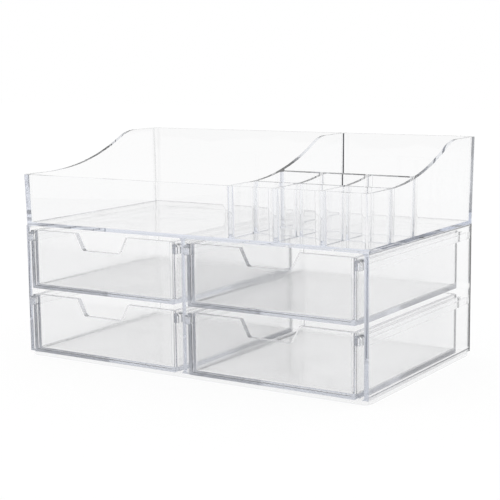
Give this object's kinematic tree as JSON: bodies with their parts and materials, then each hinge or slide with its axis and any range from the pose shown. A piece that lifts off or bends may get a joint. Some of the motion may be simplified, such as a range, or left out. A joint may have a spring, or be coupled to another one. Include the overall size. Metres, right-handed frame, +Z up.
{
  "type": "makeup organizer with drawers",
  "caption": "Clear acrylic cosmetics organizer: a cabinet of sliding drawers with finger notches, under a tray with a wide compartment and upright lipstick slots.",
  "frame": {"origin": "on the surface the organizer stands on, under the middle of its overall box", "axes": "+Z up, +X to the right along the width, the drawers open towards -Y"},
  "size_m": [0.2422, 0.1404, 0.1354],
  "materials": {
    "cabinet_acrylic": "clear polished acrylic",
    "drawer_acrylic": "clear polished acrylic",
    "tray_acrylic": "clear polished acrylic"
  },
  "bodies": {
    "cabinet": {"base_plate": "cabinet_acrylic", "back_panel": "cabinet_acrylic", "left_side_panel": "cabinet_acrylic", "centre_partition": "cabinet_acrylic", "right_side_panel": "cabinet_acrylic", "top_tray": "tray_acrylic", "runner_left_lower_left": "cabinet_acrylic", "runner_left_lower_right": "cabinet_acrylic", "runner_left_upper_left": "cabinet_acrylic", "runner_left_upper_right": "cabinet_acrylic", "runner_right_lower_left": "cabinet_acrylic", "runner_right_lower_right": "cabinet_acrylic", "runner_right_upper_left": "cabinet_acrylic", "runner_right_upper_right": "cabinet_acrylic"},
    "drawer_left_lower": {"drawer_left_lower": "drawer_acrylic"},
    "drawer_left_upper": {"drawer_left_upper": "drawer_acrylic"},
    "drawer_right_lower": {"drawer_right_lower": "drawer_acrylic"},
    "drawer_right_upper": {"drawer_right_upper": "drawer_acrylic"}
  },
  "joints": [
    {"name": "drawer_left_lower_slide", "type": "slide", "parent": "cabinet", "child": "drawer_left_lower", "axis": [0, -1, 0], "range_m": [0, 0.095]},
    {"name": "drawer_left_upper_slide", "type": "slide", "parent": "cabinet", "child": "drawer_left_upper", "axis": [0, -1, 0], "range_m": [0, 0.095]},
    {"name": "drawer_right_lower_slide", "type": "slide", "parent": "cabinet", "child": "drawer_right_lower", "axis": [0, -1, 0], "range_m": [0, 0.095]},
    {"name": "drawer_right_upper_slide", "type": "slide", "parent": "cabinet", "child": "drawer_right_upper", "axis": [0, -1, 0], "range_m": [0, 0.095]}
  ]
}
